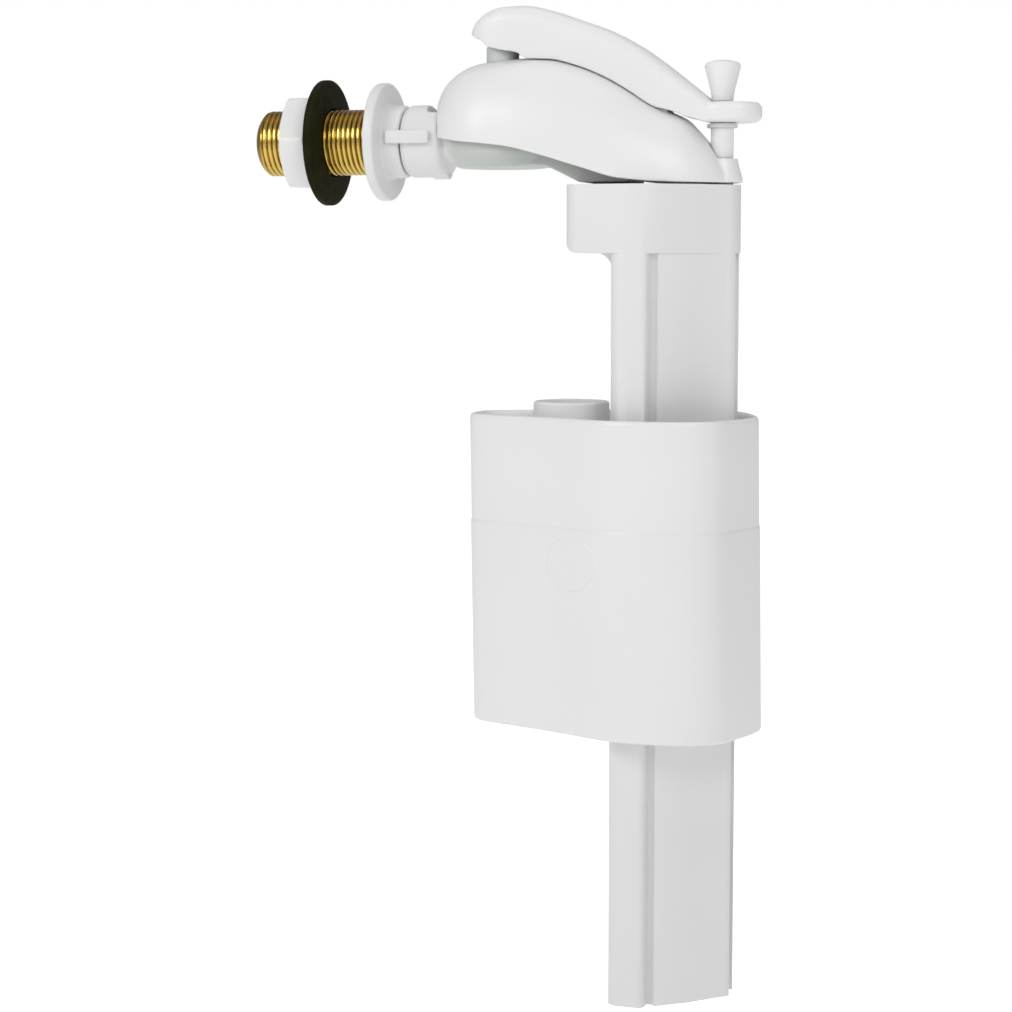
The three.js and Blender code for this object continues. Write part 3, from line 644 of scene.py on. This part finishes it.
# ---- Head ----
def valve_body():
    """Neck, bowl, duct and spout, with the water's way cut through from the socket to the drain."""
    neck = turned("servo_body", rounded([
        (0, 7.8, 0), (HUB_R - 0.5, 7.8, 0.3), (HUB_R - 0.5, 8.8, 0.2), (HUB_R, 8.8, 0.4),
        (HUB_R, 18, 1.8), (HUB_R - 2.8, 19.6, 1), (0, 19.6, 0),
    ]), "X", sides=96)
    lug = turned("lug", [(0, 14.6), (2.4, 14.6), (2.4, 18.6), (0, 18.6)], "X", (0, 1.9 - HUB_R), 48)
    bowl = turned("bowl", rounded([
        (0, -7, 0), (11.4, -7, 3), (15, -3.6, 2), (15, 2.4, 0.8), (13.4, 3.4, 0.5), (13.4, 7, 0.3),
        (0, 7, 0),
    ]), "Z", (HEAD_X, 0), 120)
    duct = prism("duct", [
        (40, -6.6), (46, -6.8), (54.5, -10.9), (67, -10.9), (67, -9.3), (59, -6.2), (46, -1.6), (40, -1.6),
    ], -9, 9, "Y")
    spout = turned("spout", [(0, -19), (4.8, -19), (4.8, -10), (0, -10)], "Z", (SPOUT_X, 0), 64)
    hollow = turned("hollow", [
        (0, -5), (10.8, -5), (11.2, -2.5), (11.2, 4.4), (12.5, 4.4), (12.5, 9), (0, 9),
    ], "Z", (HEAD_X, 0), 96)
    lid_room = turned("lid_room", [(0, 7), (19, 7), (19, 15), (0, 15)], "Z", (HEAD_X, 0), 64)
    duct_hollow = prism("duct_hollow", [
        (42, -5.2), (46.4, -5.2), (54.9, -9.2), (62.8, -9.2), (58.6, -7.7), (45.6, -3), (42, -3),
    ], -7.3, 7.3, "Y")
    drain = turned("drain", [(0, -20), (3.6, -20), (3.6, -9.1), (0, -9.1)], "Z", (SPOUT_X, 0), 48)
    pipe = turned("pipe", [(0, 18), (4.4, 18), (4.4, HEAD_X), (0, HEAD_X)], "X", (0, PIPE_Z), 48)
    nozzle = turned("nozzle", [(0, -6), (4.6, -6), (4.6, 3.2), (0, 3.2)], "Z", (HEAD_X, 0), 48)
    socket = turned("socket", [(0, 0), (6.8, 0), (6.8, 16), (0, 16)], "X", (0, 0), 64)
    inlet = turned("inlet", [(0, 10), (3, 10), (3, HEAD_X), (0, HEAD_X)], "X", (0, PIPE_Z), 32)
    riser = turned("riser", [(0, PIPE_Z), (3, PIPE_Z), (3, 5), (0, 5)], "Z", (HEAD_X, 0), 32)
    obj = carve(fuse(neck, lug, bowl, duct, spout), hollow, lid_room, duct_hollow, drain)
    obj = carve(fuse(obj, pipe, nozzle), socket, inlet, riser)
    place(melted(obj, 0.3, 5), "root", BODY, "white_plastic", "valve_body")


COVER_START = 15.2
COVER_CREST = [
    (15.2, 4), (15.6, 6.2), (16.1, 8.4), (17, 11.9), (18.6, 14.3), (20.7, 16.2), (23.7, 18), (28.5, 19.3),
    (33, 19.8), (40, 20.1), (46, 19.9), (52.4, 18.4), (60.1, 15.3), (66.2, 11.8), (70.4, 9), (74.2, 6.9),
    (78, 5.3), (80, 4.2), (82, 2.2), (84, 0), (87.4, -4), (89, -6.6), (91.6, -10),
]
COVER_HALF = [
    (32.5, 17.3), (42, 17.4), (52, 17.2), (60, 16.8), (68, 15.9), (74, 14.7), (79, 13.1),
    (83, 11.2), (86.5, 8.6), (89.8, 5), (91.6, 1.6),
]
COVER_RIM = [
    (15.2, 0.8), (20.8, 0.1), (24, -0.5), (37.5, -2.1), (47.1, -4.5), (56.6, -7.4), (66, -10.1),
    (75.4, -10.9), (84.6, -11.1), (91.6, -11.1),
]
COVER_FULLNESS = [(22, 1), (38, 0.88)]


def cover_half(x):
    """Half the cover's width: round the chamber's axis up to it, and a tapering tail beyond."""
    radius = HEAD_X - COVER_START
    if x < HEAD_X:
        return math.sqrt(max(0.6, radius**2 - (HEAD_X - x) ** 2))
    return along(COVER_HALF, x)


def soft(value, power):
    """A sine or cosine bent by power, so that an arc comes out fuller where power is below 1."""
    return math.copysign(abs(value) ** power, value)


def cover_top(x, y):
    """The height of the cover's outside at (x, y)."""
    fullness, rim = along(COVER_FULLNESS, x), along(COVER_RIM, x)
    share = (1 - (y / cover_half(x)) ** (2 / fullness)) ** (fullness / 2)
    return rim + (along(COVER_CREST, x) - rim) * share


def cover_ring(x, inset):
    """The cover's section at x, or with an inset its hollow's, which reaches down through the rim."""
    steps, fullness = 56, along(COVER_FULLNESS, x)
    half = max(0.3, cover_half(x) - inset)
    rim = along(COVER_RIM, x)
    skirt = rim - (4 if inset else 0.15)
    crest = along(COVER_CREST, x) - inset
    row = [(x, half, skirt)]
    for i in range(steps + 1):
        a = math.pi * i / steps
        side, height = soft(math.cos(a), fullness), soft(math.sin(a), fullness)
        row.append((x, half * side, rim + (crest - rim) * height))
    return row + [(x, -half, skirt)]


def head_cover():
    """The domed cover with its tapering tail: hollow, with a bracket for the pin and a bell for the rod."""
    ends = COVER_START + 1.6 * np.linspace(0, 1, 9) ** 1.6
    stations = list(ends) + list(np.arange(17.6, 91.4, 0.9)) + [91.6]
    obj = skin("domed_cover", [cover_ring(x, 0) for x in stations])
    inner = skin("inside", [cover_ring(x, WALL) for x in stations[7:-3]])
    bell = turned("bell", rounded([
        (0, -11.2, 0), (5.2, -11.2, 0.4), (4.9, -9.6, 1), (4.2, -7.2, 1), (3.8, -5.2, 0.4), (0, -5.2, 0),
    ]), "Z", (ROD_X, 0), 64)
    bracket = prism("bracket", rounded([
        (67, 6, 0), (75.6, 3, 0), (75.2, 11.4, 1), (73.6, 14, 1.5), (69, 14, 1.5), (67.4, 11.4, 1),
    ]), -4.2, 4.2, "Y")
    turret = turned("turret", [(0, 15), (4.4, 15), (4.4, 23), (0, 23)], "Z", (HEAD_X, 0), 64)
    rod = turned("rod", [(0, -12), (ROD_HOLE_R, -12), (ROD_HOLE_R, 12), (0, 12)], "Z", (ROD_X, 0), 48)
    pin = prism("pin", arc(PIN_X, PIN_Z, PIN_HOLE_R, 0, 350, 35), -10, 10, "Y")
    neck_r = HUB_R + 0.5
    neck_room = turned("neck_room", [(0, 10), (neck_r, 10), (neck_r, 22), (0, 22)], "X", (0, 0), 72)
    obj = carve(fuse(carve(obj, inner), bell, bracket), turret, rod, pin, neck_room)
    place(melted(obj, 0.3, 4), "root", WHITE, "white_plastic", "head_cover")


LEVER_TOP = [
    (24.9, 26.8), (26, 29), (29.1, 31.7), (33, 32.9), (38.2, 33.1), (47.3, 31.2), (52.4, 29.4),
    (60.1, 26.6), (67.7, 22.7), (74, 18.4), (80.3, 13.5), (84, 10.5), (86, 8.9),
]
LEVER_UNDER = [
    (24.9, 26.2), (26.8, 25.1), (28.4, 24.4), (30, 22.9), (34, 21.9), (37.5, 21.3), (42, 18), (76, 4.6),
    (80, 4.8), (83, 4.1), (85, 3.6), (86, TONGUE_BOTTOM),
]
LEVER_HALF = [(24.9, 2.2), (26.5, 4.4), (29.5, 5.8), (34, 6.3), (86, 6.3)]


def lever_under(x):
    """The lever's lower edge: it follows the cover closely, with room to swing down beyond the pivot."""
    side = 4.8 * min(1, max(0, (77 - x) / 4))
    room = 0.12 + 0.05 * max(0, x - PIN_X)
    table = along(LEVER_UNDER, x)
    return table if x < 38 else max(table, cover_top(x, side) + room)


def lever_ring(x, inset):
    """The lever's section at x, or with an inset its hollow's, which is open below."""
    steps = 28
    half = along(LEVER_HALF, x) - inset
    top = along(LEVER_TOP, x) - inset
    under = lever_under(x) - (3 if inset else 0)
    crown, fullness = min(4.5, (top - under) * 0.6), 0.75
    row = [(x, half, under)]
    for i in range(steps + 1):
        a = math.pi * i / steps
        side, height = soft(math.cos(a), fullness), soft(math.sin(a), fullness)
        row.append((x, half * side, top - crown + crown * height))
    return row + [(x, -half, under)]


def float_lever():
    """The arched hollow lever and the flat oval tongue at its end, which holds the rod."""
    tongue_x, tongue_reach, tongue_half = 89.4, 8.7, 6.8
    stations = list(24.9 + 1.7 * np.linspace(0, 1, 8) ** 1.5) + list(np.arange(27.2, 85.9, 0.8)) + [86]
    obj = skin("arched_lever", [lever_ring(x, 0) for x in stations])
    tongue = turned("tongue", rounded([
        (0, TONGUE_BOTTOM, 0), (tongue_reach, TONGUE_BOTTOM, 1.7), (tongue_reach, TONGUE_TOP, 1.7),
        (0, TONGUE_TOP, 0),
    ]), "Z", (0, 0), 96)
    oval = Matrix.Diagonal((1, tongue_half / tongue_reach, 1, 1))
    tongue.data.transform(Matrix.Translation((tongue_x * MM, 0, 0)) @ oval)
    trim = block("trim", (70, -12, 0), (85, 12, 12))
    hollow = skin("hollow", [lever_ring(x, WALL) for x in np.arange(28.4, 77.2, 0.8)])
    hole = turned("hole", [(0, 0), (ROD_HOLE_R, 0), (ROD_HOLE_R, 14), (0, 14)], "Z", (ROD_X, 0), 48)
    pin = prism("pin", arc(PIN_X, PIN_Z, PIN_HOLE_R, 0, 350, 35), -5.8, 5.8, "Y")
    obj = carve(fuse(obj, carve(tongue, trim)), hollow, hole, pin)
    place(melted(obj, 0.28, 4), "lever", WHITE, "white_plastic", "float_lever")


def pilot_turret():
    """The small turret under the lever's nose, with its bore."""
    z0, z1 = LOW["pilot_turret"][2], HIGH["pilot_turret"][2]
    profile = rounded([
        (0.6, z0, 0), (5.2, z0, 0.2), (5.2, 17, 0.3), (4.1, 17.6, 0.2), (4.1, z1, 0.6), (0.6, z1, 0.1),
    ])
    obj = turned("pilot_nozzle", profile, "Z", (HEAD_X, 0), 72)
    place(obj, "root", PILOT, "milky_plastic", "pilot_turret")


# ---- Rod and knob ----
def adjusting_rod():
    """The rod with a coarse helical thread, plain where it passes the head, and the knob's stem."""
    sides = 48
    angles = np.linspace(0, 2 * math.pi, sides, endpoint=False)
    end, stem_top = LOW["adjusting_rod"][2], 14
    thread_top, thread_depth, stem_r = -6.0, 0.65, 1.6

    def ring(z, radius, threaded=False):
        row = []
        for a in angles:
            drop = thread_drop(z, a, ROD_PITCH, thread_depth) if threaded else 0
            r = min(radius - drop, ROD_R - 0.9 + (z - end)) if threaded else radius
            row.append((ROD_X + r * math.cos(a), r * math.sin(a), z))
        return row

    rings = [ring(end, 0.05), ring(end, ROD_R - 1)]
    rings += [ring(z, ROD_R, True) for z in np.arange(end, thread_top, ROD_PITCH / 10)]
    rings += [ring(thread_top + 0.6, ROD_R - 0.3), ring(thread_top + 1.2, ROD_R), ring(TONGUE_TOP, ROD_R)]
    rings += [ring(TONGUE_TOP, stem_r), ring(stem_top, stem_r), ring(stem_top, 0.05)]
    place(skin("threaded_rod", rings, sharp=40), "rod", WHITE, "white_plastic", "adjusting_rod")


def adjusting_knob():
    """The knob, which widens like a cone towards its slightly domed top."""
    z0, z1 = LOW["adjusting_knob"][2], HIGH["adjusting_knob"][2]
    profile = rounded([
        (1.9, z0, 0), (2.6, z0, 0.3), (2.9, 11, 2), (4.45, z1 - 1.4, 0.8), (3.9, z1 - 0.6, 0.6),
        (2, z1 - 0.1, 0.8), (0, z1, 0), (0, 14.3, 0), (1.9, 14.3, 0),
    ])
    place(turned("knob", profile, "Z", (ROD_X, 0), 72), "rod", WHITE, "white_plastic", "adjusting_knob")


# ---- Column ----
def column_outline():
    """Square-shouldered lobes at the back, a groove, flat flanks and a round nose."""
    return mirrored([
        *arc(COLUMN_BACK + 3, LOBE_HALF - 3, 3, 180, 90, 10), *arc(72.2, LOBE_HALF - 1.5, 1.5, 90, 0, 8),
        (74, 14.6), (75.2, 14.6), (76, 15.6), (83.5, 10.6), *arc(NOSE[0], 0, NOSE[1], 66, 4, 10),
    ])


def water_outline():
    """The room inside the column that the water runs down."""
    return mirrored([
        *arc(COLUMN_BACK + 3, LOBE_HALF - 3, 1.4, 180, 90, 8), (72, LOBE_HALF - 1.6), (72.4, 13),
        (75.6, 13), (76, 13.6), (82.3, 9.3), (82.9, 6),
    ])


def housing_outline():
    """The upper housing: deeper at the back than the column, and a little wider along its flanks."""
    return mirrored([
        *arc(HOUSING_START + 4, 13.6, 4, 180, 90, 10), (68.8, LOBE_HALF), (72.2, LOBE_HALF), (74.4, 17.2),
        (76.4, 15.9), (83.8, 10.9), *arc(NOSE[0], 0, NOSE[1], 66, 4, 10),
    ])


def guide_column():
    """Housing and column, with the water's room, the rod's channel and the slit for the half nut."""
    shaft = prism("column", column_outline(), COLUMN_END, HOUSING_BOTTOM + 1)
    housing = prism("housing", housing_outline(), HOUSING_BOTTOM, COLUMN_TOP)
    fillet, rounding = 4, 3.5
    corner = prism("corner", [
        (COLUMN_BACK + 2, HOUSING_BOTTOM + 0.2), (COLUMN_BACK + 2, HOUSING_BOTTOM - fillet),
        *arc(COLUMN_BACK - fillet, HOUSING_BOTTOM - fillet, fillet, 0, 90, 12),
        (COLUMN_BACK - fillet, HOUSING_BOTTOM + 0.2),
    ], -14.5, 14.5, "Y")
    outside = prism("outside", [
        (HOUSING_START - 1, HOUSING_BOTTOM - 1),
        *arc(HOUSING_START + rounding, HOUSING_BOTTOM + rounding, rounding, 270, 180, 12),
    ], -19, 19, "Y")
    water = prism("water", water_outline(), COLUMN_END - 1, -14.2)
    room = block("room", (54.4, -12, -26.4), (70, 12, -14.2))
    mouth = turned("mouth", [(0, -15), (5.3, -15), (5.3, -11), (0, -11)], "Z", (SPOUT_X, 0), 48)
    channel = turned("channel", [
        (0, COLUMN_END - 1), (ROD_HOLE_R, COLUMN_END - 1), (ROD_HOLE_R, -11), (0, -11),
    ], "Z", (ROD_X, 0), 48)
    slit = block("slit", (ROD_X, -2.4, COLUMN_END - 1), (95, 2.4, HOUSING_BOTTOM))
    obj = carve(fuse(shaft, carve(housing, outside), corner), water, room, mouth, channel, slit)
    place(bevelled(obj, 0.3, 2, 50), "root", SATIN, "milky_plastic", "guide_column")


# ---- Float ----
FLOAT_HALF = [
    (24.4, 2.2), (25, 5.2), (26.8, 7.6), (31, 9.7), (42, 13.5), (52, 17.6), (60, 21.8), (66, 23.8),
    (72.5, 24.2), (80, 24), (86, 22.4), (90.5, 19.6), (92.6, 17), (94.6, 12.5), (96.8, 6.5), (98.2, 1.5),
]


def passage_half(grow):
    """Half the column's outline, grown on all sides: the wall of the float's passage."""
    return [
        *arc(COLUMN_BACK + 3, LOBE_HALF - 3, 3 + grow, 180, 90, 10), (72.4, LOBE_HALF + grow),
        (76.6 + grow * 0.5, 15.4 + grow), (83.6 + grow * 0.6, 10.4 + grow),
        *arc(NOSE[0], 0, NOSE[1] + grow, 60, 5, 8),
    ]


def relaxed(outline, rounds):
    """A closed outline with its corners cut back again and again, so that it runs as a smooth curve."""
    points = np.array(outline, float)
    for _ in range(rounds):
        following = np.roll(points, -1, axis=0)
        cuts = [points * 0.75 + following * 0.25, points * 0.25 + following * 0.75]
        points = np.stack(cuts, 1).reshape(-1, 2)
    return points


def star(outline, centre):
    """The outline's points where evenly turned rays from centre cross it."""
    count = 300
    points = np.array(outline, float) - centre
    following = np.roll(points, -1, axis=0)
    out = []
    for a in np.linspace(0, 2 * math.pi, count, endpoint=False):
        ray = np.array([math.cos(a), math.sin(a)])
        edge = following - points
        side = edge[:, 0] * ray[1] - edge[:, 1] * ray[0]
        side[np.abs(side) < 1e-12] = 1e-12
        share = (points[:, 1] * ray[0] - points[:, 0] * ray[1]) / side
        reach = (points + edge * share[:, None]) @ ray
        good = (share >= -1e-9) & (share <= 1 + 1e-9) & (reach > 0)
        out.append(ray * reach[good].max() + centre)
    return np.array(out)


def inward(points, inset):
    """The outline moved in by inset along its own normals."""
    tangent = np.roll(points, -1, axis=0) - np.roll(points, 1, axis=0)
    normal = np.stack([-tangent[:, 1], tangent[:, 0]], 1)
    normal /= np.linalg.norm(normal, axis=1)[:, None]
    return points + normal * inset


def float_shell():
    """One skin, open below: outer wall, rim, basin and passage, then back along the inside; and the cup."""
    centre = np.array([76.0, 0.0])
    outer = star(relaxed(mirrored(FLOAT_HALF), 3), centre)

    def ring(share, inset, z):
        """share runs from 0, the outer wall, to 1, the passage; inset goes into the material."""
        drift = FLOAT_DRAFT * (FLOAT_TOP - z) / (FLOAT_TOP - FLOAT_BOTTOM)
        wall = inward(outer, inset) + np.array([drift, 0])
        sleeve = star(relaxed(mirrored(passage_half(1.2 + inset)), 1), centre)
        flat = wall * (1 - share) + sleeve * share
        return [(x, y, z) for x, y in flat]

    top, deck, bottom = FLOAT_TOP, FLOAT_DECK, FLOAT_BOTTOM
    foot = [(0, 1.2, bottom + 0.1), (0, 0.4, bottom + 0.15), (0, 0.12, bottom + 0.4)]
    side = [
        (0, 0, bottom + 0.9), (0, 0, -121), (0, 0, CREASE_Z - 0.5), (0, 0.04, CREASE_Z - 0.2),
        (0, 0.16, CREASE_Z), (0, 0.18, CREASE_Z + 0.4), (0, 0.18, -82), (0, 0.18, top - 1.2),
    ]
    rim = [
        (0, 0.3, top - 0.5), (0, 0.6, top - 0.12), (0, 1.0, top), (0, 1.5, top - 0.15),
        (0, 1.85, top - 0.6), (0, 1.95, top - 1.4),
    ]
    basin = [
        (0, 2.0, deck + 1.2), (0, 2.3, deck + 0.4), (0, 3.0, deck), (0.5, 1.5, deck), (0.93, 0.8, deck),
    ]
    passage = [
        (1, 0.3, deck), (1, 0, deck - 0.3), (1, 0, -110), (1, 0, bottom + 0.4), (1, 0.6, bottom + 0.1),
    ]
    inside = [
        (1, 1.1, bottom + 0.4), (1, 1.2, -110), (1, 1.2, deck - 2.2), (0.93, 1.2, deck - 1.7),
        (0.5, 1.5, deck - 1.6), (0, 2.4, deck - 1.6), (0, 1.6, deck - 2.4), (0, 1.6, -110),
        (0, 1.6, bottom + 0.4),
    ]
    rows = foot + side + rim + basin + passage + inside
    obj = skin("float_body", [ring(*row) for row in rows], loop=True, sharp=45)
    cup_r, cup_x = 9.6, 50.5
    cup = turned("cup", rounded([
        (0, deck - 1, 0), (cup_r, deck - 1, 0), (cup_r, CUP_TOP, 1.1), (cup_r - 1.5, CUP_TOP, 0.4),
        (cup_r - 1.5, deck + 1, 1), (0, deck + 1, 0),
    ]), "Z", (cup_x, 0), 96)
    window = block("window", (91, -2.5, -84), (97, 2.5, deck + 0.1))
    obj = carve(fuse(obj, cup), window, careful=True)
    place(finish_mesh(obj, 40), "float", WHITE, "white_plastic", "float_shell")
    float_mark(outer)


def float_mark(outer):
    """A plain raised ring on the front of the float."""
    x0, z0, r, bead, sides, turns = 55.4, -104.6, 6.6, 0.5, 12, 96
    front = outer[outer[:, 1] < 0]
    front = front[np.argsort(front[:, 0])]
    drift = FLOAT_DRAFT * (FLOAT_TOP - z0) / (FLOAT_TOP - FLOAT_BOTTOM)
    rings = []
    for a in np.linspace(0, 2 * math.pi, turns, endpoint=False):
        row = []
        for b in np.linspace(0, 2 * math.pi, sides, endpoint=False):
            reach = r + bead * math.cos(b)
            x, z = x0 + reach * math.cos(a), z0 + reach * math.sin(a)
            y = np.interp(x - drift, front[:, 0], front[:, 1])
            row.append((x, y + 0.1 - 0.5 * bead * math.sin(b), z))
        rings.append(row)
    place(skin("float_ring_mark", rings, loop=True), "float", WHITE, "white_plastic")


# ---- The rest of the CAD nodes keep their shape and get a finish ----
def dress_cad_nodes():
    slots = {part["node"]: part["material_slot"] for part in frame["record"]["subparts"]}
    for name, obj in frame["nodes"].items():
        if obj.hide_render:
            continue
        obj.data.materials.clear()
        obj.data.materials.append(LOOKS[slots[name]])


camera()
studio()
sky()
floor()
inlet_shank()
tank_washer()
lock_nut()
backing_flange()
valve_body()
head_cover()
float_lever()
pilot_turret()
adjusting_rod()
adjusting_knob()
guide_column()
float_shell()
dress_cad_nodes()
